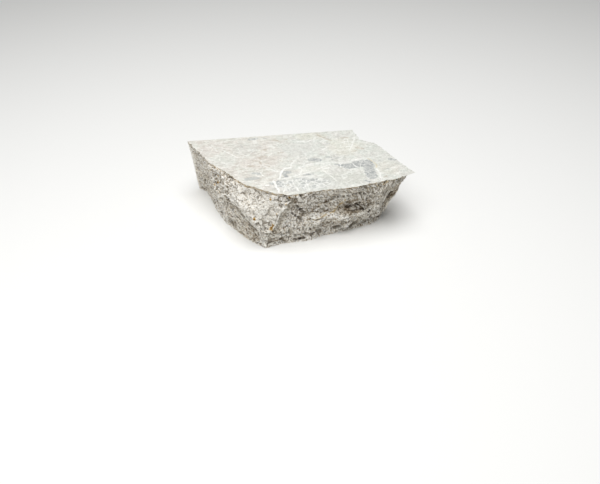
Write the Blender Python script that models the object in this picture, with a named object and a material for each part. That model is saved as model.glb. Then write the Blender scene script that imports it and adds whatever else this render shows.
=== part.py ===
"""A block of veined limestone cut from a 6 cm slab: sawn on top, underneath and behind, split rough elsewhere."""

import random

import bmesh
import bpy
from mathutils import Vector, noise

BLOCK = "limestone_block"
MM = 0.001

# Driving sizes, in millimetres
THICKNESS = 60.0
BACK_Y = 60.4
ROW_HEIGHT = 2.5
SPLIT_STEP = 3.0
SAWN_STEP = 9.0

# The broken rims wander a little, and the relief of the split faces fades out this near to them
RIM_WANDER = 0.9
RIM_WAVE = 4.0
RIM_FADE = 5.0

# Rough relief of the split faces: crisp-edged lumps, and flake scars of several sizes
LUMP_HEIGHT = 2.2
LUMP_WAVE = 11.0
SCARS = 110
SCAR_RADIUS = (6.0, 18.0)
SCAR_DEPTH = (1.0, 3.6)
SEED = 11

# Ridges where two split faces meet, as points x, y, z
LEFT_CREST = [
    (-80.3, -9.5, 38.6), (-74.9, -25.3, 40.2), (-70.8, -36.2, 40.8), (-66.9, -44.7, 40.3), (-58.6, -54.2, 36.1),
    (-54, -58, 31), (-49.4, -61.5, 24), (-45.4, -61, 11),
]
FRONT_CORNER = [
    (-22.5, -61.5, 50.3), (-27.5, -62, 43), (-29, -62, 36.5), (-32.5, -62.5, 28.3), (-38.3, -62, 19.6),
    (-41, -61.5, 10.5),
]
RIGHT_RIDGE = [
    (96.5, -41.5, 55.5), (92.5, -41.5, 49), (88, -38.5, 39.5), (81, -37.5, 28), (75.8, -37.5, 21.5),
    (71.8, -35.5, 13.5),
]
RIGHT_TURN = [
    (101, -38.5, 54.5), (97.5, -37, 45), (93.7, -34, 33), (90.5, -31, 25), (88, -29.5, 17), (85, -27.5, 9),
]
RIDGES = [[Vector(point) for point in ridge] for ridge in (LEFT_CREST, FRONT_CORNER, RIGHT_RIDGE, RIGHT_TURN)]
RIDGE_FADE = 9.0
RIDGE_CHANCE = 0.25

# Middles of the flattest split facets, how far each reaches, and the share of chance relief left there
CALM_FACETS = [
    (Vector((-38, -54, 44)), 26.0), (Vector((-98, 38, 32)), 30.0), (Vector((-70, -24, 22)), 22.0),
    (Vector((-56, -45, 18)), 18.0),
]
CALM_CHANCE = 0.4

# Upright profiles of the wall, from the back left corner round the front to the back right one.
# Each runs from the top arris down to the underside, as points x, y, z.
LEFT_FACET = [
    [(-110.7, BACK_Y, 60), (-107.2, BACK_Y, 38), (-104, BACK_Y, 10), (-102.5, BACK_Y, 0)],
    [(-104.4, 44.1, 60), (-95.8, 54, 0)],
    [(-97.8, 29.3, 60), (-91.5, 41, 0)],
    [(-93.2, 17.2, 60), (-90.5, 16, 38), (-88, 20, 0)],
    [(-90.4, 11.7, 60), (-88, 6, 39), (-84.5, -2, 26), (-79.5, -6.5, 13), (-82, -1, 0)],
]
CREST_FACET = [
    [(-84.8, 3.8, 60), LEFT_CREST[0], (-77.3, -10, 21), (-77, -13, 0)],
    [(-78.3, -4.1, 60), LEFT_CREST[1], (-71.5, -20.5, 22), (-71.9, -21.7, 0)],
    [(-73, -13.6, 60), LEFT_CREST[2], (-66.3, -29.5, 22), (-66.5, -30.5, 0)],
    [(-66, -24.2, 60), LEFT_CREST[3], (-61.5, -37.5, 21), (-61.5, -38.5, 0)],
    [(-58.2, -35.6, 60), LEFT_CREST[4], (-55.3, -46.5, 18), (-55.5, -47, 0)],
    [(-49.1, -41.6, 60), LEFT_CREST[5], (-50.3, -53, 15), (-49.8, -54.3, 0)],
    [(-40.3, -49.2, 60), LEFT_CREST[6], LEFT_CREST[7], (-43.5, -59.5, 0)],
    [(-32.4, -54.9, 60), (-37.5, -59.5, 38), (-43.6, -61.8, 18), (-43.5, -61.2, 11), (-42.4, -60.2, 0)],
    [(-24.2, -57.9, 60), (-30, -60.5, 42), (-36.5, -62, 28), (-41.6, -61.8, 14), (-40.9, -60, 0)],
]
CORNER_FACETS = [
    [(-19.9, -60.8, 60), *FRONT_CORNER, (-39, -59.6, 0)],
    [(-8.2, -59.9, 60), (-15.8, -61.5, 54), (-21.5, -60.8, 48), (-25, -60.5, 36), (-28, -60.5, 26),
     (-33, -60, 17), (-36, -58.7, 9), (-36, -58.5, 0)],
]
FRONT_FACE = [
    [(1.5, -58.6, 60), (-8, -58.4, 44), (-14, -57.4, 26), (-25, -55.6, 0)],
    [(11.4, -56.9, 60), (4, -57, 40), (-3, -56.5, 24), (-10, -55, 0)],
    [(21.2, -56.5, 60), (13, -54.5, 38), (8, -54, 24), (3, -54.4, 0)],
    [(28.9, -56.4, 60), (21, -53, 38), (17, -52.5, 25), (13.7, -49, 0)],
    [(36.6, -56.9, 60), (30, -52, 38), (26, -51.5, 26), (24, -46.5, 0)],
    [(50.8, -54.5, 60), (44, -49.5, 38), (41, -49.5, 27), (38, -43.8, 0)],
    [(61.1, -52.3, 60), (55, -47.5, 38), (52, -48, 28), (50, -40, 0)],
    [(71.4, -50.1, 60), (65, -46, 38), (61, -46.5, 28), (60, -37.3, 0)],
    [(81.9, -47.9, 60), (75, -44, 40), (69, -43.5, 27), (65.5, -39.5, 14), (68.2, -35.6, 0)],
    [(92.6, -45.3, 60), (86, -43.5, 48), (80, -41.5, 36), (73, -40, 25), (68.5, -37, 12), (70.5, -34.5, 0)],
]
RIGHT_END = [
    [(103.9, -40.7, 60), *RIGHT_RIDGE, (73, -33, 0)],
    [(110.7, -37.8, 60), *RIGHT_TURN, (81.5, -25, 0)],
]
RIGHT_SIDE = [
    [(107.6, -30.5, 60), (98, -27, 45), (91, -22, 22), (84, -16, 0)],
    [(103.8, -22, 60), (97, -15, 40), (91, -9, 18), (85, -6, 0)],
    [(100.8, -13.4, 60), (95.5, -6, 42), (88.5, 0, 16), (85.5, 3, 0)],
    [(96.3, -2.5, 60), (92, 3, 38), (83.5, 11, 0)],
    [(92.2, 10.8, 60), (89, 13, 36), (80, 20, 0)],
    [(84.6, 28.3, 60), (83, 26, 40), (75.5, 30, 0)],
    [(75.1, 34.1, 60), (75.5, 34, 35), (70.5, 38, 0)],
    [(70.6, 38.2, 60), (70.5, 41, 38), (67.5, 45, 0)],
    [(69.3, 47.4, 60), (67.5, 49, 38), (65, 52, 0)],
    [(67.4, BACK_Y, 60), (63, BACK_Y, 0)],
]
PROFILES = [
    [Vector(point) for point in profile]
    for group in (LEFT_FACET, CREST_FACET, CORNER_FACETS, FRONT_FACE, RIGHT_END, RIGHT_SIDE)
    for profile in group
]

# Larger forms on the split faces: start, end, how far each reaches to the side, and how deep it is.
# A negative depth stands proud.
FRONT_HOLLOWS = [
    ((14, -54, 45), (62, -46, 33), 17, 3.0),
    ((10, -55, 52), (34, -51, 44), 5.5, 2.4),
    ((14, -53, 42), (38, -49, 38), 5, 1.5),
    ((43, -47, 36), (58, -45, 31), 5, 1.6),
    ((36, -49, 32), (66, -43, 26), 6, 3.0),
    ((-13.6, -57, 44), (-3.5, -55.5, 34), 5.5, 3.0),
    ((-16.6, -57, 40), (-7.5, -55, 28.5), 4, 2.0),
    ((-10, -54, 7), (-3, -54, 8), 7, 2.0),
    ((50, -40, 7), (60, -37.5, 7), 5, 2.0),
]
FRONT_LEDGE = [
    ((-3, -55, 22.5), (33, -49, 23), 7, -2.4),
    ((33, -49, 23), (66, -41.5, 19), 7, -2.8),
    ((41, -44, 11), (41, -44, 11), 6, -2.6),
]
LEFT_HOLLOWS = [
    ((-97, 36, 40), (-92, 34, 16), 14, 1.6),
    ((-74.5, -14, 23), (-73, -17, 23), 5, 2.2),
    ((-72.5, -17, 5), (-70, -22, 9), 5.5, 2.4),
    ((-24, -57.2, 58), (-19, -60, 54), 5, 2.6),
]
RIGHT_LAYERS = [
    ((95, -38, 47), (77, -32, 14), 4.5, 2.0),
    ((98, -26, 46), (82, -22, 10), 5, -2.0),
    ((97, -14, 38), (90, 2, 26), 15, 3.5),
    ((86, 20, 42), (78, 30, 14), 11, 2.6),
]
FORMS = [
    (Vector(start), Vector(end), reach, depth)
    for group in (FRONT_HOLLOWS, FRONT_LEDGE, LEFT_HOLLOWS, RIGHT_LAYERS)
    for start, end, reach, depth in group
]


def clear_scene():
    for thing in list(bpy.data.objects):
        bpy.data.objects.remove(thing, do_unlink=True)


def at_height(profile, z):
    """The point where an upright profile passes a height."""
    for upper, lower in zip(profile, profile[1:]):
        if z >= lower.z:
            return upper.lerp(lower, (upper.z - z) / (upper.z - lower.z))
    return profile[-1].copy()


def wall_columns():
    """Pairs of neighbouring profiles with a share between them: one column of the wall each."""
    columns = []
    for here, there in zip(PROFILES, PROFILES[1:] + PROFILES[:1]):
        sawn = here[0].y == BACK_Y and there[0].y == BACK_Y
        gap = max((here[0] - there[0]).length, (here[-1] - there[-1]).length)
        count = max(1, round(gap / (SAWN_STEP if sawn else SPLIT_STEP)))
        columns += [(here, there, k / count) for k in range(count)]
    return columns


def rolled_wall():
    """A flat sheet rolled round the block and shaped to its profiles, then closed at the top and underneath."""
    columns = wall_columns()
    rows = round(THICKNESS / ROW_HEIGHT)
    wall = bmesh.new()
    bmesh.ops.create_grid(wall, x_segments=len(columns), y_segments=rows, size=1)
    for vert in wall.verts:
        column = round((vert.co.x + 1) / 2 * len(columns)) % len(columns)
        z = round((vert.co.y + 1) / 2 * rows) * THICKNESS / rows
        here, there, share = columns[column]
        vert.co = at_height(here, z).lerp(at_height(there, z), share)
    bmesh.ops.remove_doubles(wall, verts=wall.verts, dist=0.001)
    rims = [edge for edge in wall.edges if edge.is_boundary]
    bmesh.ops.holes_fill(wall, edges=rims, sides=0)
    bmesh.ops.recalc_face_normals(wall, faces=wall.faces)
    wall.normal_update()
    return wall


def on_a_rim(vert):
    return vert.co.z < 0.01 or vert.co.z > THICKNESS - 0.01


def is_sawn_back(vert):
    return vert.co.y > BACK_Y - 0.01


def distance_to_run(point, start, end):
    """How far a point is from the straight run between two others."""
    along = end - start
    share = 0.0
    if along.length:
        share = max(0.0, min(1.0, (point - start).dot(along) / along.length_squared))
    return (point - (start + along * share)).length


def scar_list(wall):
    """Seeded flake scars: where each is centred on the split wall, how wide and how deep it is."""
    draw = random.Random(SEED)
    places = [vert.co.copy() for vert in wall.verts if not on_a_rim(vert) and not is_sawn_back(vert)]
    scars = []
    for _ in range(SCARS):
        size = draw.random()
        radius = SCAR_RADIUS[0] + size * (SCAR_RADIUS[1] - SCAR_RADIUS[0])
        depth = SCAR_DEPTH[0] + size * draw.random() * (SCAR_DEPTH[1] - SCAR_DEPTH[0])
        scars.append((draw.choice(places), radius, depth))
    return scars


def dish(away, reach, depth):
    """Depth of a dished hollow at a distance from its middle: deepest there, with a crisp rim at its reach."""
    return depth * max(0.0, 1 - (away / reach) ** 2)


def from_ridges(point):
    """How far a point is from the nearest ridge."""
    return min(
        distance_to_run(point, start, end) for ridge in RIDGES for start, end in zip(ridge, ridge[1:])
    )


def chance_share(point):
    """The share of the chance relief that a point takes: little on the ridges and on the calm facets."""
    near_ridge = min(1.0, RIDGE_CHANCE + from_ridges(point) / RIDGE_FADE)
    calm = max(dish((point - middle).length, reach, 1 - CALM_CHANCE) for middle, reach in CALM_FACETS)
    return near_ridge * (1 - calm)


def relief(point, scars):
    """How far the split face stands proud at a point, in millimetres."""
    lumps = noise.noise(point / LUMP_WAVE, noise_basis="VORONOI_F1") * LUMP_HEIGHT
    scarred = max(dish((point - centre).length, radius, depth) for centre, radius, depth in scars)
    formed = sum(dish(distance_to_run(point, start, end), reach, depth) for start, end, reach, depth in FORMS)
    return (lumps - scarred) * chance_share(point) - formed


def break_rims(wall):
    """Lets the broken rims wander a little in their own planes."""
    for vert in wall.verts:
        if on_a_rim(vert) and not is_sawn_back(vert):
            outward = Vector((vert.normal.x, vert.normal.y, 0)).normalized()
            vert.co += outward * RIM_WANDER * noise.noise(vert.co / RIM_WAVE)


def roughen(wall):
    """Splits the smooth wall into flakes, hollows and lumps, which fade out at the sawn faces."""
    scars = scar_list(wall)
    moves = {}
    for vert in wall.verts:
        if on_a_rim(vert) or is_sawn_back(vert):
            continue
        margin = min(vert.co.z, THICKNESS - vert.co.z, (BACK_Y - vert.co.y) * 1.5)
        moves[vert] = vert.normal * relief(vert.co, scars) * min(1.0, margin / RIM_FADE)
    for vert, move in moves.items():
        vert.co += move


def centre_on_footprint(wall):
    """Puts the origin under the middle of the block, on the plane that it rests on."""
    xs = [vert.co.x for vert in wall.verts]
    ys = [vert.co.y for vert in wall.verts]
    middle = Vector(((min(xs) + max(xs)) / 2, (min(ys) + max(ys)) / 2, 0))
    bmesh.ops.translate(wall, verts=wall.verts, vec=-middle)


def limestone():
    material = bpy.data.materials.new("split_and_sawn_limestone")
    material.use_nodes = True
    shader = material.node_tree.nodes["Principled BSDF"]
    shader.inputs["Base Color"].default_value = (0.53, 0.50, 0.44, 1)
    shader.inputs["Roughness"].default_value = 0.75
    shader.inputs["Metallic"].default_value = 0.0
    return material


def make_block():
    wall = rolled_wall()
    roughen(wall)
    break_rims(wall)
    centre_on_footprint(wall)
    bmesh.ops.scale(wall, verts=wall.verts, vec=(MM, MM, MM))
    mesh = bpy.data.meshes.new(BLOCK)
    wall.to_mesh(mesh)
    wall.free()
    mesh.materials.append(limestone())
    block = bpy.data.objects.new(BLOCK, mesh)
    collection = bpy.data.collections.new(BLOCK)
    bpy.context.scene.collection.children.link(collection)
    collection.objects.link(block)
    return block


clear_scene()
make_block()
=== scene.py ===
"""The looks of a veined limestone block: honed sawn top, sawn back and underside, rough split sides."""

import math

import bpy
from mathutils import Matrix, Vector


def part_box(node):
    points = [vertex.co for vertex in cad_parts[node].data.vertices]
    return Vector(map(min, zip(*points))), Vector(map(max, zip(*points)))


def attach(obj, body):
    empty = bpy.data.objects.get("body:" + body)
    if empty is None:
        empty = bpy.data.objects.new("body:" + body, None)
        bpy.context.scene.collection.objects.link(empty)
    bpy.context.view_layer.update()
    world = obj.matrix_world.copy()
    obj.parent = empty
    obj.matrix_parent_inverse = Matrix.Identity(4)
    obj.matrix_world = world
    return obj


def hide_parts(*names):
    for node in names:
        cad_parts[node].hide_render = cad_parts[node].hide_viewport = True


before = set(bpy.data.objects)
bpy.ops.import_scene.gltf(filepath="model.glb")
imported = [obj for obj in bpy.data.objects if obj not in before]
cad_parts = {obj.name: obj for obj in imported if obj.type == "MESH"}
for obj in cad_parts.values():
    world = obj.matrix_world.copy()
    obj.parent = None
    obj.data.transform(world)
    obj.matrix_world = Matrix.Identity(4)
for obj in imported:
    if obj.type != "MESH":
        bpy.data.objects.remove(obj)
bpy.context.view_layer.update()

MM = 0.001
SOLID = "limestone_block"
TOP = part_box(SOLID)[1].z
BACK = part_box(SOLID)[1].y

# Where the photograph was taken from, in metres, where it looks, and its film and lens in millimetres
CAMERA_PLACE = (-0.0957, -0.6532, 0.44)
LOOKS_DOWN = math.radians(36)
LOOKS_RIGHT = math.radians(8.38)
FILM_WIDTH = 36
LENS = 45

# Soft lights: name, place and aim in metres, power in watts and width in metres
SOFTBOXES = [
    ("softbox_above", (0.0, 0.0, 1.3), (0, 0, 0), 10.4, 0.8),
    ("softbox_front_left", (-0.3, -0.5, 1.12), (0, 0, 0.02), 8.4, 0.8),
]
ROOM_LIGHT = 0.14
FLOOR_WIDTH = 6

# Width of the bruised strip along the sawn edges, which also carries a painted highlight, how near a plane a
# point has to be to lie on it, and how near two corners have to be to count as one, in metres
ARRIS = 0.6 * MM
ON_PLANE = 0.02 * MM
SAME_POINT = 0.001 * MM

# How squarely a sawn face looks up, down or back, and how uneven two triangles joined in a quad may be
SQUARE_ON = 0.999
UNEVEN = math.radians(75)

# Cuts across each cell of the solid's split walls, which leave cells of about 0.6 mm
WALL_CUTS = 4

# How the stone broke: size of the pieces in millimetres, slope of their faces, and their steps in millimetres
CHIPS = {
    "shells": (11.0, 0.2, 0.6),
    "chips": (5.0, 0.42, 0.5),
    "splinters": (2.4, 0.45, 0.25),
    "grains": (1.2, 0.45, 0.2),
}
# The size under which pieces aren't drawn out, in millimetres
FINE_GRAIN = 2.0
# Sizes whose pieces each keep a tone of their own, which also stands as painted light and shade on their
# faces, from the darkest to the palest
TONED_AND_SHADED = [
    ("chips", 0.86, 1.14),
    ("splinters", 1.46, 2.0),
]
# Shards and crystals in the pieces: size in millimetres, and their part in the speckle
SHARDS = [
    (0.8, 0.58),
    (2.6, 0.14),
]
# The palest that broken stone gets, as a linear colour
PALEST = (0.92, 0.91, 0.885)

# Stretches of wall that broke flatter than the rest: middle, half size, and the share of the relief they lose
CALM = [
    ((-50, -42, 42), (36, 26, 22), 0.55),
    ((-96, 34, 32), (22, 36, 36), 0.5),
    ((29, -50, 28), (13, 8, 6), 0.5),
]

# Ridges where two split faces meet, as points x, y, z in millimetres
RIDGES = [
    [(-78.9, -11.7, 35.3), (-71.0, -30.1, 36.5), (-61.6, -46.7, 33.5), (-53.3, -48.9, 20.0),
     (-47.0, -56.0, 12.2), (-42.2, -59.5, 1.5)],
    [(-17.6, -57.7, 51.4), (-21.5, -59.6, 48.8), (-27.1, -60.4, 40.3), (-30.7, -60.3, 29.9),
     (-36.3, -59.6, 19.1), (-41.1, -60.2, 11.1), (-42.2, -59.5, 1.5)],
]
# How wide and how high a ridge stands over the faces beside it, in millimetres
RIDGE_WIDTH = 1.8
RIDGE_HEIGHT = 0.6

# Clefts and pits on the walls: start, end, how far each reaches to the side and how deep, in millimetres
CLEFTS = [
    ((-11.5, -55.0, 43.5), (-3.0, -52.5, 32.5), 1.7, 2.0),
    ((-15.0, -56.2, 36.5), (-6.0, -53.7, 26.5), 1.4, 1.5),
    ((-24.0, -57.5, 57.5), (-18.5, -58.0, 53.0), 1.6, 1.6),
    ((40.0, -43.5, 30.5), (50.5, -41.5, 30.0), 1.9, 1.6),
    ((51.5, -41.0, 29.0), (60.5, -39.5, 28.5), 1.6, 1.5),
    ((37.0, -46.5, 27.0), (61.0, -40.5, 24.5), 1.6, 1.2),
    ((17.0, -51.5, 43.0), (37.0, -46.0, 38.0), 1.8, 1.2),
    ((27.0, -51.0, 50.5), (36.0, -49.0, 47.0), 1.5, 1.0),
    ((69.0, -35.0, 8.5), (67.5, -38.0, 13.0), 2.2, 2.4),
    ((66.6, -39.9, 20.7), (63.5, -40.5, 19.0), 1.8, 1.5),
    ((89.5, -32.9, 35.6), (84.4, -31.5, 24.4), 1.6, 1.6),
    ((84.0, -31.0, 23.0), (81.2, -27.2, 8.4), 1.6, 1.6),
    ((96.0, -38.0, 50.0), (90.0, -38.0, 38.0), 1.2, 1.2),
    ((-11.3, -53.3, 2.4), (-2.3, -53.7, 4.2), 2.4, 1.5),
    ((44.5, -45.5, 14.5), (46.5, -42.0, 8.0), 1.4, 1.4),
    ((35.0, -47.5, 15.0), (34.5, -45.0, 8.0), 1.2, 1.0),
    ((-74.1, -14.0, 23.3), (-72.5, -16.5, 21.5), 2.4, 1.8),
    ((-71.4, -19.3, 5.8), (-69.0, -23.0, 7.5), 2.4, 1.8),
    ((-66.0, -29.0, 30.5), (-56.0, -44.5, 20.5), 1.3, 1.0),
]
# Hollows that run beside the ridges and give them a crisp edge, given in the same way
HOLLOWS = [
    ((-12.5, -57.0, 50.0), (-16.5, -58.0, 46.5), 4.6, 2.4),
    ((-16.5, -58.0, 46.5), (-22.0, -59.0, 38.5), 4.8, 2.8),
    ((-22.0, -59.0, 38.5), (-26.0, -59.0, 29.0), 4.6, 2.4),
    ((-26.0, -59.0, 29.0), (-31.5, -58.5, 18.0), 4.6, 1.8),
    ((-76.0, -15.0, 30.5), (-68.5, -32.0, 31.5), 4.6, 1.6),
    ((-68.5, -32.0, 31.5), (-60.5, -44.0, 27.5), 4.6, 2.0),
    ((-60.5, -44.0, 27.5), (-55.5, -46.5, 15.5), 4.6, 2.0),
    ((-55.5, -46.5, 15.5), (-50.5, -52.5, 8.0), 4.4, 1.6),
]
# Ledges and knobs that stand proud, given in the same way
LEDGES = [
    ((15.0, -47.0, 9.0), (36.0, -50.5, 22.5), 2.6, 0.8),
    ((36.0, -51.0, 23.0), (62.6, -42.0, 21.0), 2.4, 1.0),
    ((40.1, -47.0, 12.0), (40.1, -47.0, 12.0), 4.2, 1.0),
    ((-5.0, -57.5, 50.0), (2.4, -54.5, 36.5), 1.6, 0.7),
]

# Stretches of wall where the break runs in streaks: middle, half size, direction, and how far it is drawn out
STREAKS = [
    ((-64, -28, 18), (20, 32, 22), (27, -31, -10), 0.75),
    ((92, -34, 30), (16, 12, 30), (-18, 6, -33), 0.65),
    ((30, -50, 30), (55, 14, 30), (50, 8, -6), 0.5),
]

# The relief's limits, how softly it meets them, and the margin over which it fades out at the sawn planes, in
# millimetres
PROUD = 0.3
DEEPEST = -3.6
EASE = 0.8
FADE = 2.5
# The share of its distance to the top or the underside that a point may move towards it
NEARER = 0.8
# How deep the broken rims are nicked, and how near the sawn back the nicks end, in millimetres
NICK = 2.2
UNNICKED = 1.5
# How many points round a point count as its own face, as its whole wall, and as its surroundings
OWN_FACE = 5
WHOLE_WALL = 60
SURROUNDINGS = (3, 24)

# White veins that can be made out on the top, as points x, y in millimetres
BOLD_VEINS = [
    [(-30.3, -32.5), (-29.2, -39.0), (-28.8, -45.0), (-27.3, -48.5), (-27.6, -53.0)],
    [(-23.6, -28.0), (-21.5, -19.5), (-18.5, -12.6), (-16.0, -10.3), (-10.3, -9.0)],
    [(-38.5, -39.3), (-36.0, -39.3)],
    [(22.5, -16.5), (27.5, -15.5)],
]
MAIN_VEINS = [
    [(-10.3, -9.0), (-9.0, -3.5), (-5.0, 3.0), (0.0, 9.0)],
    [(-30.0, -30.0), (-23.6, -29.3), (-16.0, -29.5), (-10.5, -26.5), (-4.0, -24.5), (2.0, -22.5),
     (8.0, -20.5)],
    [(-2.0, -10.5), (4.0, -7.0), (11.0, -5.0), (20.8, -6.0), (31.8, -4.9), (41.0, -7.5), (52.3, -5.2),
     (57.7, -2.6), (67.0, -1.7)],
    [(-4.0, -24.5), (0.0, -16.0), (-2.0, -10.5)],
    [(-9.0, -30.0), (-1.0, -28.5), (8.0, -30.3), (16.0, -29.0)],
    [(65.5, 44.0), (64.3, 38.8), (59.7, 27.5), (55.2, 17.5)],
    [(74.5, -24.0), (75.5, -33.0), (74.5, -38.0), (74.0, -46.0)],
]
THIN_VEINS = [
    [(20.1, -19.2), (24.2, -26.3), (27.7, -33.2), (30.2, -41.0)],
    [(52.3, -10.0), (55.5, -18.5)],
    [(39.8, -8.5), (39.3, -16.0)],
    [(47.2, 28.5), (51.6, 24.5), (58.5, 26.0)],
    [(49.5, 34.0), (56.0, 36.5), (62.0, 34.0)],
    [(-38.0, -0.1), (-26.5, -13.7), (-18.9, -16.7)],
    [(-23.0, -34.0), (-20.7, -38.5), (-20.3, -45.0), (-23.0, -54.0)],
    [(-19.0, -39.0), (-16.5, -34.0), (-12.5, -34.5), (-11.5, -41.0), (-8.3, -53.9)],
    [(1.4, -40.7), (1.4, -53.6)],
    [(-41.0, -15.0), (-39.0, -21.5)],
    [(25.8, 21.7), (32.9, 26.0)],
    [(2.9, 44.8), (14.0, 41.0), (27.4, 50.2)],
    [(-26.0, 37.0), (-20.0, 33.0)],
    [(-92.9, 45.7), (-75.8, 36.7), (-60.7, 17.6)],
    [(10.3, -20.0), (20.0, -14.0), (30.0, -8.0)],
    [(-62.0, -28.5), (-50.0, -31.5), (-41.0, -36.5)],
]
# Ochre seam round the large fragment
OCHRE_SEAMS = [[(69.9, -2.5), (73.0, -7.7), (74.8, -12.8), (75.8, -16.8), (74.6, -21.5)]]

# Nets of veins through the whole stone, in millimetres: size of their meshes and width of the veins, and then
# how white they are and how seldom they show
VEIN_NETS = [
    (20.0, 0.6, 0.6, 0.5),
    (9.0, 0.5, 0.5, 0.5),
    (4.5, 0.45, 0.45, 0.52),
]

# The stretch of the top where the stone is most shattered, as middle and half size, and its fragments' size
MOSAIC = ((-3, -42, 60), (34, 13, 60))
MOSAIC_SIZE = 5.0

# How far the marks on the top shift sideways with each millimetre down into the stone
SLANT = (0.45, -0.5, 0)
# Size of the small cells that the edges of the fragments follow, in millimetres, and how closely they follow
CORNERS = 2.2
ANGULAR = 0.4
# Size of the calcite crystals, in millimetres
CRYSTALS = 1.1

# Fragments of darker limestone caught in the paler stone: start, end and radius of each, in millimetres
BLUE_FRAGMENTS = [
    ((34.0, -9.6), (39.5, -11.5), 1.0),
    ((40.5, -12.0), (47.0, -14.5), 2.8),
    ((47.0, -15.0), (55.0, -14.5), 5.2),
    ((57.0, -12.0), (67.0, -11.0), 6.0),
    ((64.0, -12.0), (67.5, -17.0), 6.0),
    ((66.5, -24.0), (66.5, -37.0), 5.6),
    ((58.0, -44.0), (61.5, -47.5), 1.2),
    ((-17.5, -18.5), (-13.0, -18.2), 2.6),
    ((-18.5, -20.0), (-17.0, -25.8), 2.0),
    ((-20.0, -27.5), (-22.5, -28.0), 0.6),
    ((-8.0, -31.3), (-3.5, -32.2), 1.3),
    ((-3.0, -33.0), (4.0, -36.8), 2.2),
    ((4.5, -36.5), (12.5, -35.2), 1.3),
    ((0.5, -25.3), (9.0, -25.5), 1.4),
    ((12.5, 3.6), (20.0, 1.4), 3.2),
    ((-32.5, -35.5), (-32.0, -37.5), 2.0),
    ((-25.8, -34.8), (-25.0, -41.5), 2.7),
    ((-46.0, 54.5), (-38.0, 56.2), 1.8),
    ((91.8, -6.8), (96.5, -9.3), 2.0),
    ((76.5, -8.8), (82.8, -9.8), 0.6),
    ((29.0, 6.2), (33.0, 5.0), 1.2),
    ((84.0, -26.0), (86.0, -26.5), 1.0),
]
GREY_FRAGMENTS = [
    ((-55.5, -25.5), (-45.5, -24.8), 2.7),
    ((-48.0, -15.0), (-42.5, -17.0), 2.0),
    ((-21.5, -32.6), (-18.5, -33.0), 0.9),
    ((-18.5, -37.5), (-14.5, -36.5), 1.1),
    ((-3.0, -45.5), (-2.8, -50.0), 2.5),
    ((-13.0, -46.5), (-12.0, -46.5), 1.5),
    ((5.0, -46.5), (9.0, -47.5), 1.8),
    ((36.0, 3.4), (42.0, 3.0), 1.2),
    ((33.5, 0.5), (34.5, 0.4), 0.8),
    ((-55.5, 45.0), (-54.5, 38.0), 0.4),
    ((-30.5, 55.5), (-27.0, 54.5), 1.0),
    ((34.5, 34.0), (36.5, 34.0), 0.8),
]
# Brown dashes in the paler stone
TAN_MARKS = [
    ((27.5, 55.0), (32.0, 48.2), 1.0),
    ((32.0, 48.2), (39.0, 41.0), 1.1),
    ((52.5, 44.5), (58.0, 44.0), 1.2),
    ((-20.0, 50.5), (-17.0, 48.5), 1.4),
    ((-17.0, 48.5), (-13.5, 43.0), 0.7),
    ((64.5, 21.5), (69.0, 18.0), 1.6),
    ((57.0, 15.0), (62.0, 14.5), 0.7),
    ((-53.0, 0.8), (-49.5, -1.2), 0.8),
    ((-48.3, -0.5), (-46.0, -0.8), 0.7),
    ((-43.5, -2.3), (-41.0, -2.0), 0.8),
    ((-37.0, -7.0), (-31.0, -4.2), 0.8),
    ((-40.0, 7.5), (-38.8, 1.5), 0.8),
    ((-46.5, 9.3), (-41.0, 9.0), 0.6),
    ((-39.5, 15.0), (-38.0, 12.0), 0.9),
    ((-37.0, 17.0), (-32.5, 16.0), 0.6),
    ((-34.0, 2.5), (-31.0, 2.6), 0.5),
    ((-62.0, -6.0), (-59.0, -6.5), 0.7),
    ((-18.3, 5.5), (-17.5, 5.0), 0.8),
    ((-35.0, 31.0), (-31.0, 30.0), 0.9),
    ((-19.0, 22.0), (-14.0, 22.0), 0.6),
    ((-86.0, 41.0), (-80.0, 38.0), 0.7),
    ((78.0, -41.0), (81.0, -39.0), 0.8),
    ((-17.8, -42.0), (-17.0, -42.5), 0.8),
    ((-7.5, 50.0), (-6.5, 49.5), 0.9),
]
# Stretches of the top that differ in tone: middle, half size, colour and share of it
PATCHES = [
    ((-75, 14, 60), (14, 14, 60), "#dde1da", 0.35),
    ((-52, 36, 60), (16, 16, 60), "#d2d2cc", 0.35),
    ((-90, 36, 60), (14, 12, 60), "#d8d0c8", 0.25),
    ((-36, 6, 60), (24, 14, 60), "#d8d0c7", 0.35),
    ((6, 28, 60), (22, 16, 60), "#d6d6d0", 0.4),
    ((22, 53, 60), (20, 10, 60), "#dcd8c6", 0.35),
    ((52, 26, 60), (20, 20, 60), "#e6e3d2", 0.35),
    ((82, 6, 60), (16, 18, 60), "#d7d9d1", 0.35),
    ((86, -24, 60), (14, 14, 60), "#dcd6c8", 0.3),
    ((38, -36, 60), (24, 13, 60), "#cfcfc6", 0.6),
    ((10, -16, 60), (18, 8, 60), "#e9e6dc", 0.4),
]

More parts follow.
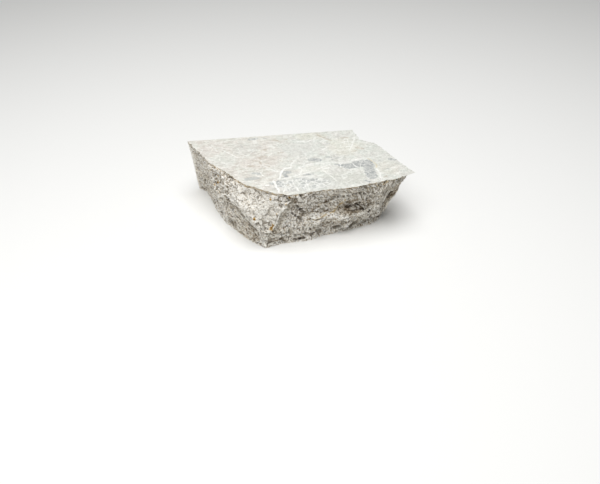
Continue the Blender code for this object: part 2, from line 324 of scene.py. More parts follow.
# Iron stains on the split faces, as points x, y, z in millimetres: a line along the front, and spots with
# their radii
RUST_LINE = [
    (80.0, -46.0, 57.5), (76.3, -47.6, 55.8), (62.6, -45.8, 50.2), (51.5, -45.2, 44.5), (42.2, -47.3, 41.4),
    (35.1, -43.9, 34.7), (30.3, -48.4, 32.6), (25.1, -49.9, 28.9), (13.4, -54.4, 27.5), (6.2, -55.8, 25.8),
]
RUST_SPOTS = [
    ((-83.6, 2.2, 49.5), 1.7),
    ((-84.1, 1.6, 43.2), 2.1),
    ((-87.1, 4.7, 38.0), 1.2),
    ((-83.9, 0.2, 39.5), 1.5),
    ((-52.2, -55.0, 32.7), 1.5),
    ((-35.4, -60.6, 26.6), 2.0),
    ((-36.9, -60.6, 23.8), 2.0),
    ((-35.2, -59.8, 20.6), 1.5),
    ((-40.1, -60.3, 17.7), 1.2),
    ((-36.2, -53.9, 52.7), 1.3),
    ((-31.0, -59.6, 39.1), 0.9),
    ((-21.7, -59.8, 49.2), 1.1),
    ((-17.6, -58.2, 55.8), 1.9),
    ((72.5, -47.0, 54.6), 1.6),
    ((61.0, -46.0, 51.0), 1.6),
    ((30.3, -48.4, 32.6), 1.3),
    ((-6.5, -53.7, 26.5), 1.1),
]
# How far depth into the wall counts beside the rest, so that the line shows on whatever face lies over it
RUST_DEPTH = 0.35
# Heights below the top between which the painted shadow line under the arris fades out, in millimetres
UNDER_ARRIS = (2.6, 1.1)
# Darker seams of painted shadow just under the arris: start, end and radius of each, in millimetres
SHADOW_SEAMS_UNDER_ARRIS = [
    ((-58.2, -35.3, 58.6), (-43.0, -46.9, 58.6), 0.9),
    ((-43.0, -46.9, 58.6), (-30.0, -55.5, 58.4), 0.6),
]

# Stretches of wall painted paler where they face the light and darker where they are undercut, turned away or
# hollow, as painted light and shade: middle, half size, colour and share of it
LIGHT_AND_SHADE_TINTS = [
    ((-48, -44, 42), (38, 28, 24), "#fffefa", 0.55),
    ((20, -52, 30), (80, 20, 40), "#f3f0e9", 0.4),
    ((48, -43, 29), (28, 12, 9), "#7d6f58", 0.72),
    ((-98, 34, 30), (20, 36, 40), "#bdb5a7", 0.3),
    ((93, -28, 28), (14, 22, 36), "#8f8472", 0.35),
    ((29, -50, 27), (13, 8, 6), "#eeebe3", 0.4),
    ((-34, -56, 38), (17, 14, 24), "#fffefa", 0.55),
    ((-62, -34, 14), (24, 32, 20), "#b5ac9d", 0.4),
]
# Stretches of wall whose crystals differ less in tone: middle, half size, and how much less
CLEAR = [
    ((-50, -42, 42), (36, 24, 22), 0.45),
    ((-34, -56, 38), (17, 14, 24), 0.3),
    ((-96, 34, 32), (22, 36, 36), 0.15),
]

# Kinds of node that are used again and again
MATH = "ShaderNodeMath"
VECTOR = "ShaderNodeVectorMath"
RANGE = "ShaderNodeMapRange"
NOISE = "ShaderNodeTexNoise"
CELLS = "ShaderNodeTexVoronoi"
MIX = "ShaderNodeMix"
RAMP = "ShaderNodeValToRGB"
AXES = "ShaderNodeSeparateXYZ"
MARK = "ShaderNodeAttribute"
BLUR = "GeometryNodeBlurAttribute"
STORE = "GeometryNodeStoreNamedAttribute"


def linear(code):
    """An sRGB hex colour as the linear one that a shader takes."""
    parts = [int(code[k:k + 2], 16) / 255 for k in (1, 3, 5)]
    return (*(p / 12.92 if p <= 0.04045 else ((p + 0.055) / 1.055) ** 2.4 for p in parts), 1.0)


def add(tree, kind, *inputs, named=None, stops=(), **settings):
    """Adds a node with its settings and links.

    Inputs come in the node's own order, or by name. Each is a value, or a socket or node to link it to."""
    made = tree.nodes.new(kind)
    for name, value in settings.items():
        setattr(made, name, value)
    for number, (position, code) in enumerate(stops):
        elements = made.color_ramp.elements
        stop = elements[number] if number < len(elements) else elements.new(position)
        stop.position, stop.color = position, linear(code)
    given = list(zip([socket for socket in made.inputs if socket.enabled], inputs))
    given += [(made.inputs[name], value) for name, value in (named or {}).items()]
    for socket, value in given:
        if isinstance(value, bpy.types.Node):
            value = next(output for output in value.outputs if output.enabled)
        if isinstance(value, bpy.types.NodeSocket):
            tree.links.new(value, socket)
        else:
            socket.default_value = value
    return made


def warped(tree, place, wave, reach, detail=2.0):
    """A place pushed about by noise of a given wave, by up to about half the reach."""
    push = add(tree, NOISE, place, 1 / wave, detail).outputs["Color"]
    push = add(tree, VECTOR, push, (0.5, 0.5, 0.5), operation="SUBTRACT")
    return add(tree, VECTOR, place, add(tree, VECTOR, push, reach, operation="SCALE"), operation="ADD")


def nearest(tree, place, runs):
    """Distance from a place to the nearest of some runs, each a start, an end and a radius."""
    least = None
    for start, end, radius in runs:
        start, end = (Vector((*point, 0)[:3]) for point in (start, end))
        along = end - start
        offset = add(tree, VECTOR, place, start, operation="SUBTRACT")
        if along.length:
            share = add(tree, VECTOR, offset, along / along.length_squared, operation="DOT_PRODUCT")
            share = add(tree, "ShaderNodeClamp", share)
            behind = add(tree, VECTOR, along, share, operation="SCALE")
            offset = add(tree, VECTOR, offset, behind, operation="SUBTRACT")
        gap = add(tree, MATH, add(tree, VECTOR, offset, operation="LENGTH"), radius, operation="SUBTRACT")
        least = gap if least is None else add(tree, MATH, least, gap, operation="MINIMUM")
    return least


def runs_of(lines):
    """The runs between the points of some lines, with no width of their own."""
    return [(start, end, 0.0) for line in lines for start, end in zip(line, line[1:])]


def inside(tree, place, middle, half, most=1.0):
    """How much of a place is inside a rounded stretch of stone, up to a most in its middle."""
    offset = add(tree, VECTOR, place, middle, operation="SUBTRACT")
    offset = add(tree, VECTOR, add(tree, VECTOR, offset, half, operation="DIVIDE"), operation="LENGTH")
    return add(tree, RANGE, offset, 1.1, 0.75, 0.0, most)


def vein_net(tree, place, size, width, shown):
    """Veins along the borders of stone fragments of a given size, in sight only where they are shown."""
    edge = add(tree, CELLS, place, 1 / size, feature="DISTANCE_TO_EDGE")
    line = add(tree, RANGE, edge, width / size, 0.0)
    return add(tree, MATH, line, shown, operation="MULTIPLY")


def drawn_out(tree, place, bent):
    """A bent place squeezed along the streaks, so that what breaks there comes out long."""
    for middle, half, direction, share in STREAKS:
        along = Vector(direction).normalized()
        shift = add(tree, VECTOR, place, along, operation="DOT_PRODUCT")
        shift = add(tree, MATH, shift, inside(tree, place, middle, half, share), operation="MULTIPLY")
        shift = add(tree, VECTOR, along, shift, operation="SCALE")
        bent = add(tree, VECTOR, bent, shift, operation="SUBTRACT")
    return bent


def stone_pattern():
    """The pattern that runs through the whole stone, as a group that every finish of it shares.

    Fragments of grey limestone lie in a paler ground, with nets of white calcite veins between and across
    them. Every size in it is in millimetres."""
    group = bpy.data.node_groups.new("limestone_pattern", "ShaderNodeTree")
    group.interface.new_socket("Color", in_out="OUTPUT", socket_type="NodeSocketColor")
    group.interface.new_socket("Place", in_out="OUTPUT", socket_type="NodeSocketVector")
    coordinates = add(group, "ShaderNodeTexCoord").outputs["Object"]
    place = add(group, VECTOR, coordinates, 1 / MM, operation="SCALE")
    bent = warped(group, place, wave=7.0, reach=5.0, detail=3.0)
    crinkled = warped(group, place, wave=3.0, reach=2.0)
    drifting = warped(group, place, wave=18.0, reach=16.0, detail=4.0)

    # Marks seen on the top go down into the stone as slanting sheets
    depth = add(group, MATH, TOP / MM, add(group, AXES, crinkled).outputs["Z"], operation="SUBTRACT")
    slant = add(group, VECTOR, SLANT, depth, operation="SCALE")
    flat = add(group, VECTOR, crinkled, (1, 1, 0), operation="MULTIPLY")
    sheet = add(group, VECTOR, flat, slant, operation="ADD")
    # Fragments are angular: their edges follow small cells of the stone
    cells = add(group, CELLS, add(group, VECTOR, sheet, 1 / CORNERS, operation="SCALE"), 1.0)
    corner = add(group, VECTOR, cells.outputs["Position"], CORNERS * ANGULAR, operation="SCALE")
    angular = add(group, VECTOR, sheet, 1 - ANGULAR, operation="SCALE")
    angular = add(group, VECTOR, angular, corner, operation="ADD")

    # Ground: warm and wavy to the left, cooler and smoother to the right
    drift = add(group, MATH, add(group, NOISE, place, 1 / 30.0), 50.0, operation="MULTIPLY")
    side = add(group, MATH, add(group, AXES, bent).outputs["X"], drift, operation="ADD")
    waves = {"Vector": bent, "Rotation": (0, 0, -0.35), "Scale": (0.45, 1.4, 1.0)}
    wavy = add(group, "ShaderNodeMapping", named=waves)
    warm = add(group, RAMP, add(group, NOISE, wavy, 1 / 5.0, 5.0, 0.7),
               stops=[(0.37, "#c6c0b6"), (0.5, "#dedbd2"), (0.63, "#f0efe8")])
    cool = add(group, RAMP, add(group, NOISE, bent, 1 / 5.0, 5.0, 0.7),
               stops=[(0.37, "#c9cac2"), (0.5, "#dddfd8"), (0.63, "#eeefe9")])
    ground = add(group, MIX, add(group, RANGE, side, -5.0, 30.0), warm, cool, data_type="RGBA")
    hues = add(group, RAMP, add(group, NOISE, bent, 1 / 9.0, 3.0, 0.6),
               stops=[(0.4, "#d9d1ca"), (0.5, "#dfddd4"), (0.6, "#d6dbd1")])
    ground = add(group, MIX, 0.3, ground, hues, data_type="RGBA")
    for middle, half, tone, share in PATCHES:
        patch = inside(group, drifting, middle, half, share)
        ground = add(group, MIX, patch, ground, linear(tone), data_type="RGBA")
    mottle = add(group, RANGE, add(group, NOISE, wavy, 1 / 2.6, 4.0, 0.7), 0.35, 0.65, 0.875, 1.065)
    ground = add(group, VECTOR, ground, mottle, operation="SCALE")
    grey = add(group, RANGE, nearest(group, angular, GREY_FRAGMENTS), 0.4, -0.4, 0.0, 0.85)
    ground = add(group, MIX, grey, ground, linear("#bdbfbb"), data_type="RGBA")

    # Where the stone is most shattered, small grey fragments lie close together with veins between them
    zone = inside(group, place, *MOSAIC)
    eased = warped(group, sheet, wave=6.0, reach=2.5)
    chance = add(group, AXES, add(group, CELLS, eased, 1 / MOSAIC_SIZE).outputs["Color"]).outputs["Y"]
    filled = add(group, RANGE, chance, 0.2, 0.9, 0.25, 0.9)
    filled = add(group, MATH, filled, zone, operation="MULTIPLY")
    ground = add(group, MIX, filled, ground, linear("#bcbeba"), data_type="RGBA")

    # Blotched grey-blue fragments, brown dashes and the ochre seam
    blotch = add(group, NOISE, place, 1 / 2.2, 4.0, 0.7)
    blue_tone = add(group, RAMP, blotch, stops=[(0.38, "#9fa2a2"), (0.5, "#babcb9"), (0.62, "#cecfca")])
    blue = add(group, RANGE, nearest(group, angular, BLUE_FRAGMENTS), 0.5, -0.5)
    ground = add(group, MIX, blue, ground, blue_tone, data_type="RGBA")
    tan = add(group, RANGE, nearest(group, sheet, TAN_MARKS), 0.9, -0.6, 0.0, 0.55)
    ground = add(group, MIX, tan, ground, linear("#b8ab98"), data_type="RGBA")
    ochre = add(group, RANGE, nearest(group, sheet, runs_of(OCHRE_SEAMS)), 1.3, 0.2, 0.0, 0.5)
    ochre = add(group, MATH, ochre, add(group, RANGE, blotch, 0.4, 0.55, 0.2, 1.0), operation="MULTIPLY")
    ground = add(group, MIX, ochre, ground, linear("#dcc48f"), data_type="RGBA")

    # Veins, which swell and thin out on their way
    swell = add(group, NOISE, place, 1 / 4.0)
    bold = add(group, RANGE, nearest(group, sheet, runs_of(BOLD_VEINS)), 1.3, 0.6)
    bold = add(group, MATH, bold, add(group, RANGE, swell, 0.3, 0.5, 0.6, 1.0), operation="MULTIPLY")
    main = add(group, RANGE, nearest(group, sheet, runs_of(MAIN_VEINS)), 1.1, 0.2, 0.0, 0.9)
    main = add(group, MATH, main, add(group, RANGE, swell, 0.35, 0.5, 0.35, 1.0), operation="MULTIPLY")
    halo = add(group, RANGE, nearest(group, sheet, runs_of(MAIN_VEINS)), 3.5, 0.5, 0.0, 0.4)
    halo = add(group, MATH, halo, add(group, RANGE, swell, 0.42, 0.52), operation="MULTIPLY")
    thin = add(group, RANGE, nearest(group, sheet, runs_of(THIN_VEINS)), 0.8, 0.2)
    thin = add(group, MATH, thin, add(group, RANGE, swell, 0.4, 0.55, 0.4, 1.0), operation="MULTIPLY")
    veins = add(group, MATH, bold, main, operation="MAXIMUM")
    veins = add(group, MATH, veins, halo, operation="MAXIMUM")
    veins = add(group, MATH, veins, thin, operation="MAXIMUM")
    laced = add(group, RANGE, swell, 0.4, 0.55, 0.5, 1.0)
    laced = add(group, MATH, laced, zone, operation="MULTIPLY")
    veins = add(group, MATH, veins, vein_net(group, eased, MOSAIC_SIZE, 0.6, laced), operation="MAXIMUM")
    for size, width, most, seldom in VEIN_NETS:
        shown = add(group, NOISE, place, 1 / (size * 0.9))
        shown = add(group, RANGE, shown, seldom, seldom + 0.08, 0.0, most)
        veins = add(group, MATH, veins, vein_net(group, bent, size, width, shown), operation="MAXIMUM")
    colour = add(group, MIX, veins, ground, linear("#f7f7f2"), data_type="RGBA")

    # Crystals of calcite, paler and darker than their neighbours, and drawn coarse enough to show
    crystals = add(group, AXES, add(group, CELLS, place, 1 / CRYSTALS).outputs["Color"]).outputs["Z"]
    crystals = add(group, MATH, crystals, 0.4, operation="MULTIPLY")
    specks = add(group, MATH, crystals, add(group, NOISE, place, 1 / 1.6, 2.0, 0.7), operation="ADD")
    specks = add(group, RANGE, specks, 0.4, 1.0, 0.88, 1.11)
    colour = add(group, VECTOR, colour, specks, operation="SCALE")
    add(group, "NodeGroupOutput", colour, place)
    return group


PATTERN = stone_pattern()
# Calcite bends light by 1.49 to 1.66, depending on the way that a crystal lies
STONE_IOR = 1.5


def new_finish(name):
    """A new material with an empty tree but for the stone's shared pattern, to work from."""
    material = bpy.data.materials.new(name)
    material.use_nodes = True
    material.node_tree.nodes.clear()
    return material, material.node_tree, add(material.node_tree, "ShaderNodeGroup", node_tree=PATTERN)


def complete(tree, colour, relief, roughness, strength, deep):
    """Ends a finish of the stone with its colour, its finest relief, its dullness and the relief's depth."""
    bump = add(tree, "ShaderNodeBump", named={"Height": relief, "Strength": strength, "Distance": deep * MM})
    looks = {"Base Color": colour, "Roughness": roughness, "IOR": STONE_IOR, "Normal": bump}
    add(tree, "ShaderNodeOutputMaterial", add(tree, "ShaderNodeBsdfPrincipled", named=looks))


def honed_limestone():
    """Sawn limestone ground smooth but not polished: the pattern shows clearly, with a soft sheen.

    Its pores are a few tenths of a millimetre wide, and drawn coarser so that they break up the sheen."""
    material, tree, pattern = new_finish("honed_limestone")
    pores = add(tree, NOISE, pattern.outputs["Place"], 1 / 1.5, 3.0)
    complete(tree, pattern.outputs["Color"], pores, roughness=0.45, strength=0.12, deep=0.1)
    return material


def split_limestone():
    """Limestone broken by a hammer or a splitter: dull and grainy, with bright crystals, painted shade in its
    pits and clefts, and painted highlights on its ridges.
    """
    material, tree, pattern = new_finish("split_limestone")
    place = pattern.outputs["Place"]
    patches = add(tree, RAMP, add(tree, NOISE, place, 1 / 8.0, 3.0, 0.6),
                  stops=[(0.36, "#cbc5ba"), (0.5, "#e0dcd4"), (0.64, "#ecebe5")])
    colour = add(tree, MIX, 0.35, patches, pattern.outputs["Color"], data_type="RGBA")
    # Painted light and shade: the lit facets paler, the undercut, turned-away and hollow stretches darker
    for middle, half, tone, share in LIGHT_AND_SHADE_TINTS:
        painted_light_and_shade = inside(tree, place, middle, half, share)
        colour = add(tree, MIX, painted_light_and_shade, colour, linear(tone), data_type="RGBA")
    # Painted shade: faces that look down or lie beside a ridge are darkened
    overhang_shade = add(tree, MARK, attribute_name="overhang_shade").outputs["Fac"]
    overhang_shade = add(tree, RANGE, overhang_shade, 0.15, 0.5, 0.0, 0.4)
    colour = add(tree, MIX, overhang_shade, colour, linear("#aaa294"), data_type="RGBA")
    beside = add(tree, MARK, attribute_name="shade_beside_ridge").outputs["Fac"]
    beside = add(tree, RANGE, beside, 0.02, 0.14, 0.0, 0.55)
    colour = add(tree, MIX, beside, colour, linear("#8a806f"), data_type="RGBA")

    # Every chip has its own tone, partly painted light and shade for its tilted face, and so have the shards
    # and crystals in it
    facets = 1.0
    for name, darkest, palest in TONED_AND_SHADED:
        tone = add(tree, MARK, attribute_name=name).outputs["Fac"]
        tone = add(tree, RANGE, tone, 0.0, 1.0, darkest, palest)
        facets = add(tree, MATH, facets, tone, operation="MULTIPLY")
    long = drawn_out(tree, place, warped(tree, place, wave=1.8, reach=1.6))
    grain = add(tree, NOISE, place, 1 / 1.3, 3.0, 0.75)
    speckle = add(tree, MATH, grain, 0.1, operation="SUBTRACT")
    for size, part in SHARDS:
        shards = add(tree, AXES, add(tree, CELLS, long, 1 / size).outputs["Color"]).outputs["X"]
        speckle = add(tree, MATH, shards, part, speckle, operation="MULTIPLY_ADD")
    speckle = add(tree, RAMP, speckle, stops=[(0.45, "#6b5e4d"), (0.74, "#d0c9bf"), (0.97, "#ffffff")])
    colour = add(tree, VECTOR, colour, speckle, operation="MULTIPLY")
    colour = add(tree, VECTOR, colour, facets, operation="SCALE")
    colour = add(tree, VECTOR, colour, PALEST, operation="MINIMUM")
    for middle, half, share in CLEAR:
        clear = inside(tree, place, middle, half, share)
        colour = add(tree, MIX, clear, colour, linear("#e2ded4"), data_type="RGBA")

    # Veinlets and hairline cracks
    fine = warped(tree, place, wave=4.0, reach=3.0, detail=3.0)
    shown = add(tree, RANGE, add(tree, NOISE, place, 1 / 7.0), 0.46, 0.54, 0.0, 0.75)
    veinlets = vein_net(tree, fine, 6.0, 0.6, shown)
    colour = add(tree, MIX, veinlets, colour, linear("#f5f3ec"), data_type="RGBA")
    shown = add(tree, RANGE, add(tree, NOISE, fine, 1 / 5.0), 0.5, 0.56, 0.0, 0.75)
    cracks = vein_net(tree, long, 5.0, 0.45, shown)
    colour = add(tree, MIX, cracks, colour, linear("#5c4d3d"), data_type="RGBA")

    # Painted shade darkens the hollows and clefts, and proud edges and ridges are made white, partly as
    # bruised stone and partly as a painted highlight
    hollow = add(tree, MARK, attribute_name="hollow").outputs["Fac"]
    hollow_shade = add(tree, RANGE, hollow, 0.2, 1.0, 0.0, 0.55)
    colour = add(tree, MIX, hollow_shade, colour, linear("#7e705b"), data_type="RGBA")
    broken = add(tree, RANGE, add(tree, NOISE, place, 1 / 3.0, 3.0, 0.6), 0.42, 0.52, 0.15, 1.0)
    cleft = add(tree, RANGE, add(tree, MARK, attribute_name="cleft").outputs["Fac"], 0.15, 0.65, 0.0, 0.9)
    cleft = add(tree, MATH, cleft, broken, operation="MULTIPLY")
    colour = add(tree, MIX, cleft, colour, linear("#43382b"), data_type="RGBA")
    bruise_and_highlight = add(tree, RANGE, hollow, -0.3, -1.0, 0.0, 0.6)
    ridge = add(tree, RANGE, add(tree, MARK, attribute_name="ridge").outputs["Fac"], 0.3, 0.6)
    ridge = add(tree, MATH, ridge, add(tree, RANGE, grain, 0.3, 0.42, 0.3, 1.0), operation="MULTIPLY")
    bruise_and_highlight = add(tree, MATH, bruise_and_highlight, ridge, operation="MAXIMUM")
    colour = add(tree, MIX, bruise_and_highlight, colour, linear("#faf8f1"), data_type="RGBA")

    # Painted shadow: a tan line under the overhanging arris, darker along the seams
    height = add(tree, AXES, place).outputs["Z"]
    low, high = (TOP / MM - below for below in UNDER_ARRIS)
    arris_shadow = add(tree, RANGE, height, low, high, 0.0, 0.8)
    patchy = add(tree, RANGE, add(tree, NOISE, place, 1 / 5.0), 0.42, 0.52, 0.3, 1.0)
    arris_shadow = add(tree, MATH, arris_shadow, patchy, operation="MULTIPLY")
    seam_shadow = add(tree, RANGE, nearest(tree, place, SHADOW_SEAMS_UNDER_ARRIS), 0.7, 0.0, 0.0, 0.8)
    arris_shadow = add(tree, MATH, arris_shadow, seam_shadow, operation="MAXIMUM")
    colour = add(tree, MIX, arris_shadow, colour, linear("#a8926c"), data_type="RGBA")

    # Iron stains
    squashed = add(tree, VECTOR, place, (1, RUST_DEPTH, 1), operation="MULTIPLY")
    line = runs_of([[(x, y * RUST_DEPTH, z) for x, y, z in RUST_LINE]])
    rust = add(tree, RANGE, nearest(tree, warped(tree, squashed, 4.0, 2.0), line), 1.4, 0.3, 0.0, 0.45)
    patchy = add(tree, RANGE, add(tree, NOISE, place, 1 / 3.5), 0.4, 0.52)
    rust = add(tree, MATH, rust, patchy, operation="MULTIPLY")
    spots = [(at, at, radius) for at, radius in RUST_SPOTS]
    spots = add(tree, RANGE, nearest(tree, warped(tree, place, 1.5, 1.8), spots), 0.5, -1.1)
    rust = add(tree, MATH, rust, spots, operation="MAXIMUM")
    ochre = add(tree, RAMP, rust, stops=[(0.2, "#d3b873"), (0.55, "#b0852c"), (0.95, "#6a4710")])
    rust = add(tree, RANGE, rust, 0.05, 0.55)
    colour = add(tree, MIX, rust, colour, ochre, data_type="RGBA")
    complete(tree, colour, grain, roughness=0.85, strength=0.5, deep=0.4)
    return material


def bruised_highlit_limestone():
    """The crushed arris of the sawn faces: stone turned white and powdery by small knocks, and paler still as
    a painted highlight along the edge.
    """
    material, tree, pattern = new_finish("bruised_highlit_limestone")
    colour = add(tree, MIX, 0.5, pattern.outputs["Color"], linear("#f3efe4"), data_type="RGBA")
    powder = add(tree, NOISE, pattern.outputs["Place"], 1 / 0.8, 2.0)
    complete(tree, colour, powder, roughness=0.9, strength=0.5, deep=0.3)
    return material


def sawn_limestone():
    """Limestone as the saw left it: flat and chalky, with faint marks of the blade."""
    material, tree, pattern = new_finish("sawn_limestone")
    long = {"Vector": pattern.outputs["Place"], "Scale": (0.02, 0.02, 1.0)}
    marks = add(tree, NOISE, add(tree, "ShaderNodeMapping", named=long), 1 / 0.9, 2.0)
    tone = add(tree, RANGE, marks, 0.3, 0.7, 0.88, 0.98)
    colour = add(tree, VECTOR, pattern.outputs["Color"], tone, operation="SCALE")
    complete(tree, colour, marks, roughness=0.7, strength=0.3, deep=0.3)
    return material


def deselect_all():
    if bpy.context.object and bpy.context.object.mode != "OBJECT":
        bpy.ops.object.mode_set(mode="OBJECT")
    bpy.ops.object.select_all(action="DESELECT")


def work_on(piece):
    """Makes a piece the only selected and the active one."""
    deselect_all()
    piece.select_set(True)
    bpy.context.view_layer.objects.active = piece


def select_where(piece, kind, chosen):
    """Leaves the piece in edit mode with only the chosen edges or faces selected."""
    bpy.ops.object.mode_set(mode="EDIT")
    bpy.ops.mesh.select_mode(type={"edges": "EDGE", "polygons": "FACE"}[kind])
    bpy.ops.mesh.select_all(action="DESELECT")
    bpy.ops.object.mode_set(mode="OBJECT")
    for element in getattr(piece.data, kind):
        element.select = chosen(element)
    bpy.ops.object.mode_set(mode="EDIT")


def is_sawn(face):
    """Whether a face lies in the sawn top, the underside or the sawn back."""
    return abs(face.normal.z) > SQUARE_ON or face.normal.y > SQUARE_ON


def on_a_rim(mesh, edge):
    """Whether an edge runs round the sawn top or round the underside."""
    heights = [mesh.vertices[k].co.z for k in edge.vertices]
    return min(heights) > TOP - ON_PLANE or max(heights) < ON_PLANE


def clean_copy(name):
    """A copy of the solid with its triangles merged, its walls in quads and its top and underside whole."""
    piece = bpy.data.objects.new(name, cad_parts[SOLID].data.copy())
    bpy.context.scene.collection.objects.link(piece)
    work_on(piece)
    bpy.ops.object.mode_set(mode="EDIT")
    bpy.ops.mesh.select_all(action="SELECT")
    bpy.ops.mesh.remove_doubles(threshold=SAME_POINT)
    for up in (1, -1):
        select_where(piece, "polygons", lambda face: face.normal.z * up > SQUARE_ON)
        bpy.ops.mesh.dissolve_faces()
    bpy.ops.mesh.select_all(action="SELECT")
    bpy.ops.mesh.tris_convert_to_quads(face_threshold=UNEVEN, shape_threshold=UNEVEN)
    bpy.ops.object.mode_set(mode="OBJECT")
    return piece


def subdivide_walls(piece):
    """Cuts the split walls finely and leaves the sawn faces whole."""
    select_where(piece, "polygons", lambda face: not is_sawn(face))
    bpy.ops.mesh.subdivide(number_cuts=WALL_CUTS, smoothness=0.0)
    bpy.ops.object.mode_set(mode="OBJECT")


def soften_arris(piece):
    """Takes a hair off the sawn edges, where the stone is bruised."""
    mesh = piece.data
    select_where(piece, "edges", lambda edge: on_a_rim(mesh, edge))
    bpy.ops.mesh.bevel(offset=ARRIS, offset_type="OFFSET", segments=1, profile=0.5, clamp_overlap=True)
    bpy.ops.object.mode_set(mode="OBJECT")


def deepest_run(tree, place, runs):
    """The depth at a place of the deepest of some runs, and how near the middle of a run the place is."""
    depth = share = 0.0
    for start, end, reach, deep in runs:
        near = add(tree, RANGE, nearest(tree, place, [(start, end, 0.0)]), reach, 0.0)
        share = add(tree, MATH, share, near, operation="MAXIMUM")
        depth = add(tree, MATH, depth, add(tree, MATH, near, deep, operation="MULTIPLY"), operation="MAXIMUM")
    return depth, share


def broken_faces(tree, place, size, slope, step):
    """Height of flat faces of chance tilt, one to each cell of a given size, and a chance number for each."""
    place = add(tree, VECTOR, place, 1 / size, operation="SCALE")
    cell = add(tree, CELLS, place, 1.0)
    tilt = add(tree, VECTOR, cell.outputs["Color"], (0.5, 0.5, 0.5), operation="SUBTRACT")
    within = add(tree, VECTOR, place, cell.outputs["Position"], operation="SUBTRACT")
    rise = add(tree, VECTOR, within, tilt, operation="DOT_PRODUCT")
    chance = add(tree, "ShaderNodeTexWhiteNoise", cell.outputs["Position"]).outputs["Value"]
    drop = add(tree, RANGE, chance, 0.0, 1.0, -step, 0.0)
    return add(tree, MATH, rise, 2 * slope * size, drop, operation="MULTIPLY_ADD"), chance


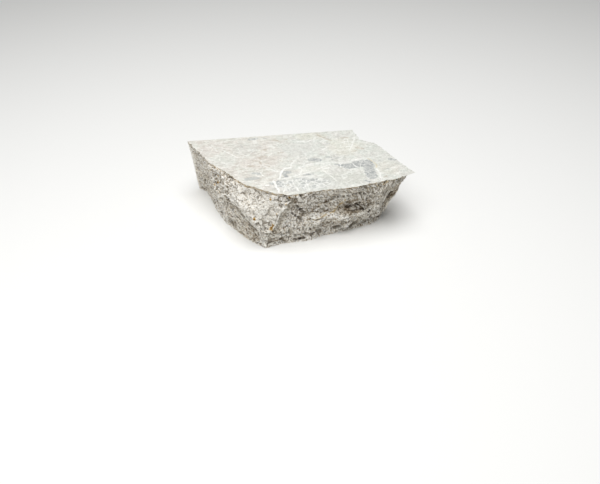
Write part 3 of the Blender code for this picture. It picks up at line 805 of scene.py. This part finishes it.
def split_relief():
    """Geometry nodes that break the walls into flat-faced pieces of several sizes, and mark their hollows."""
    tree = bpy.data.node_groups.new("split_relief", "GeometryNodeTree")
    for way in ("INPUT", "OUTPUT"):
        tree.interface.new_socket("Stone", in_out=way, socket_type="NodeSocketGeometry")
    stone = tree.nodes.new("NodeGroupInput").outputs[0]
    normal = add(tree, "GeometryNodeInputNormal").outputs[0]
    place = add(tree, VECTOR, add(tree, "GeometryNodeInputPosition"), 1 / MM, operation="SCALE")
    agreed = add(tree, BLUR, normal, OWN_FACE, data_type="FLOAT_VECTOR")
    outward = add(tree, VECTOR, agreed, operation="NORMALIZE")
    # Where two faces meet in a ridge their normals disagree, and the ridge keeps its line
    off_ridge = add(tree, RANGE, add(tree, VECTOR, agreed, operation="LENGTH"), 0.72, 0.95, 0.25, 1.0)

    bent = warped(tree, warped(tree, place, 8.0, 3.0), 1.6, 1.3)
    long = drawn_out(tree, place, bent)
    rough = add(tree, RANGE, add(tree, NOISE, place, 1 / 18.0, 1.0), 0.35, 0.65, 0.6, 1.25)
    for middle, half, loss in CALM:
        left = add(tree, MATH, 1.0, inside(tree, place, middle, half, loss), operation="SUBTRACT")
        rough = add(tree, MATH, rough, left, operation="MULTIPLY")
    height = grains = 0.0
    for name, (size, slope, step) in CHIPS.items():
        face, chance = broken_faces(tree, bent if size < FINE_GRAIN else long, size, slope, step)
        if size < FINE_GRAIN:
            grains = add(tree, MATH, grains, face, operation="ADD")
        else:
            height = add(tree, MATH, height, face, operation="ADD")
        if name in [toned for toned, darkest, palest in TONED_AND_SHADED]:
            stone = add(tree, STORE, stone, True, name, chance, data_type="FLOAT", domain="POINT")
    rough = add(tree, MATH, rough, off_ridge, operation="MULTIPLY")
    height = add(tree, MATH, height, rough, grains, operation="MULTIPLY_ADD")

    # Clefts, hollows, ledges and knobs that can be made out one by one
    crinkled = warped(tree, place, 2.5, 1.6)
    cleft, cleft_share = deepest_run(tree, crinkled, CLEFTS)
    ledge = deepest_run(tree, crinkled, LEDGES)[0]
    beside, beside_share = deepest_run(tree, warped(tree, place, 4.0, 1.2), HOLLOWS)
    sunk = add(tree, MATH, cleft, beside, operation="MAXIMUM")
    height = add(tree, MATH, add(tree, MATH, height, ledge, operation="ADD"), sunk, operation="SUBTRACT")
    on_ridge = nearest(tree, warped(tree, place, wave=4.0, reach=1.2), runs_of(RIDGES))
    on_ridge = add(tree, RANGE, on_ridge, RIDGE_WIDTH, 0.0)
    height = add(tree, MATH, on_ridge, RIDGE_HEIGHT, height, operation="MULTIPLY_ADD")
    # How far the wall looks down, kept to paint shade under its overhangs
    wide_outward = add(tree, BLUR, normal, WHOLE_WALL, data_type="FLOAT_VECTOR")
    wide_outward = add(tree, VECTOR, wide_outward, operation="NORMALIZE")
    overhang_shade = add(tree, MATH, add(tree, AXES, wide_outward).outputs["Z"], -1.0, operation="MULTIPLY")
    marks = {"cleft": cleft_share, "shade_beside_ridge": beside_share, "ridge": on_ridge, "overhang_shade": overhang_shade}
    for name, value in marks.items():
        stone = add(tree, STORE, stone, True, name, value, data_type="FLOAT", domain="POINT")
    height = add(tree, MATH, height, PROUD, operation="SUBTRACT")
    height = add(tree, MATH, height, PROUD, EASE, operation="SMOOTH_MIN")
    height = add(tree, MATH, height, DEEPEST, EASE, operation="SMOOTH_MAX")

    # The relief fades out at the sawn planes, and the broken rims are nicked in their own planes
    axes = add(tree, AXES, place)
    before = add(tree, MATH, BACK / MM, axes.outputs["Y"], operation="SUBTRACT")
    below = add(tree, MATH, TOP / MM, axes.outputs["Z"], operation="SUBTRACT")
    margin = add(tree, MATH, axes.outputs["Z"], below, operation="MINIMUM")
    share = add(tree, RANGE, add(tree, MATH, margin, before, operation="MINIMUM"), 0.0, FADE)
    move = add(tree, VECTOR, outward, add(tree, MATH, height, share, operation="MULTIPLY"), operation="SCALE")
    nick = add(tree, RANGE, add(tree, NOISE, place, 1 / 3.0, 4.0, 0.7), 0.25, 0.58, -NICK, 0.0)
    nick = add(tree, MATH, nick, add(tree, RANGE, margin, FADE, 0.0), operation="MULTIPLY")
    nick = add(tree, MATH, nick, add(tree, RANGE, before, 0.0, UNNICKED), operation="MULTIPLY")
    level = add(tree, VECTOR, outward, (1, 1, 0), operation="MULTIPLY")
    move = add(tree, VECTOR, move, add(tree, VECTOR, level, nick, operation="SCALE"), operation="ADD")
    # Nothing crosses the planes of the top and the underside
    parts = add(tree, AXES, move)
    room = add(tree, MATH, below, NEARER, operation="MULTIPLY")
    rise = add(tree, MATH, parts.outputs["Z"], room, operation="MINIMUM")
    fall = add(tree, MATH, axes.outputs["Z"], -NEARER, operation="MULTIPLY")
    rise = add(tree, MATH, rise, fall, operation="MAXIMUM")
    move = add(tree, "ShaderNodeCombineXYZ", parts.outputs["X"], parts.outputs["Y"], rise)
    move = add(tree, VECTOR, move, MM, operation="SCALE")
    stone = add(tree, "GeometryNodeSetPosition", named={"Geometry": stone, "Offset": move})

    # How far each point lies below its surroundings, near and wide
    now = add(tree, "GeometryNodeInputPosition")
    facing = add(tree, VECTOR, add(tree, BLUR, normal, 3, data_type="FLOAT_VECTOR"), operation="NORMALIZE")
    hollow = 0.0
    for steps in SURROUNDINGS:
        around = add(tree, BLUR, now, steps, data_type="FLOAT_VECTOR")
        sunk = add(tree, VECTOR, around, now, operation="SUBTRACT")
        sunk = add(tree, VECTOR, sunk, facing, operation="DOT_PRODUCT")
        hollow = add(tree, MATH, sunk, 1 / MM, hollow, operation="MULTIPLY_ADD")
    stone = add(tree, STORE, stone, True, "hollow", hollow, data_type="FLOAT", domain="POINT")
    add(tree, "NodeGroupOutput", stone)
    return tree


def break_walls(piece):
    modifier = piece.modifiers.new("split_relief", "NODES")
    modifier.node_group = split_relief()
    work_on(piece)
    bpy.ops.object.modifier_apply(modifier=modifier.name)


def finish_faces(piece):
    """Gives each face of the block the finish that it has by the way it was cut or broken."""
    mesh = piece.data
    mesh.materials.clear()
    for material in (split_limestone(), honed_limestone(), sawn_limestone(), bruised_highlit_limestone()):
        mesh.materials.append(material)
    rim = TOP - 1.5 * ARRIS
    for face in mesh.polygons:
        if face.normal.z > SQUARE_ON and face.center.z > TOP - ON_PLANE:
            face.material_index = 1
        elif face.normal.y > SQUARE_ON or face.center.z < ON_PLANE:
            face.material_index = 2
        elif min(mesh.vertices[k].co.z for k in face.vertices) > rim:
            face.material_index = 3
        else:
            face.material_index = 0


def make_block():
    piece = clean_copy("split_block")
    subdivide_walls(piece)
    break_walls(piece)
    soften_arris(piece)
    finish_faces(piece)
    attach(piece, "root")
    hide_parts(SOLID)
    return piece


def soft_light(name, place, aim, power, size):
    light = bpy.data.objects.new(name, bpy.data.lights.new(name, "AREA"))
    light.data.energy = power
    light.data.size = size
    light.location = place
    light.rotation_euler = (Vector(aim) - light.location).to_track_quat("-Z", "Y").to_euler()
    bpy.context.scene.collection.objects.link(light)


def make_stage():
    deselect_all()
    bpy.ops.mesh.primitive_plane_add(size=FLOOR_WIDTH, location=(0, 0, 0))
    floor = bpy.context.object
    floor.name = "floor"
    paper = bpy.data.materials.new("white_paper_floor")
    paper.use_nodes = True
    shader = paper.node_tree.nodes["Principled BSDF"]
    shader.inputs["Base Color"].default_value = linear("#f4f4f2")
    shader.inputs["Roughness"].default_value = 0.9
    floor.data.materials.append(paper)
    for softbox in SOFTBOXES:
        soft_light(*softbox)
    world = bpy.data.worlds.new("pale_studio")
    world.use_nodes = True
    world.node_tree.nodes["Background"].inputs["Color"].default_value = (1, 1, 1, 1)
    world.node_tree.nodes["Background"].inputs["Strength"].default_value = ROOM_LIGHT
    bpy.context.scene.world = world
    bpy.context.scene.view_settings.view_transform = "Standard"


def make_camera():
    """Where the photograph was taken from: 36 degrees above the block, a little to its left."""
    level = math.cos(LOOKS_DOWN)
    forward = Vector((math.sin(LOOKS_RIGHT) * level, math.cos(LOOKS_RIGHT) * level, -math.sin(LOOKS_DOWN)))
    camera = bpy.data.objects.new("camera", bpy.data.cameras.new("camera"))
    camera.data.sensor_width = FILM_WIDTH
    camera.data.lens = LENS
    camera.location = CAMERA_PLACE
    camera.rotation_euler = forward.to_track_quat("-Z", "Y").to_euler()
    bpy.context.scene.collection.objects.link(camera)
    bpy.context.scene.camera = camera


make_camera()
make_stage()
block = make_block()
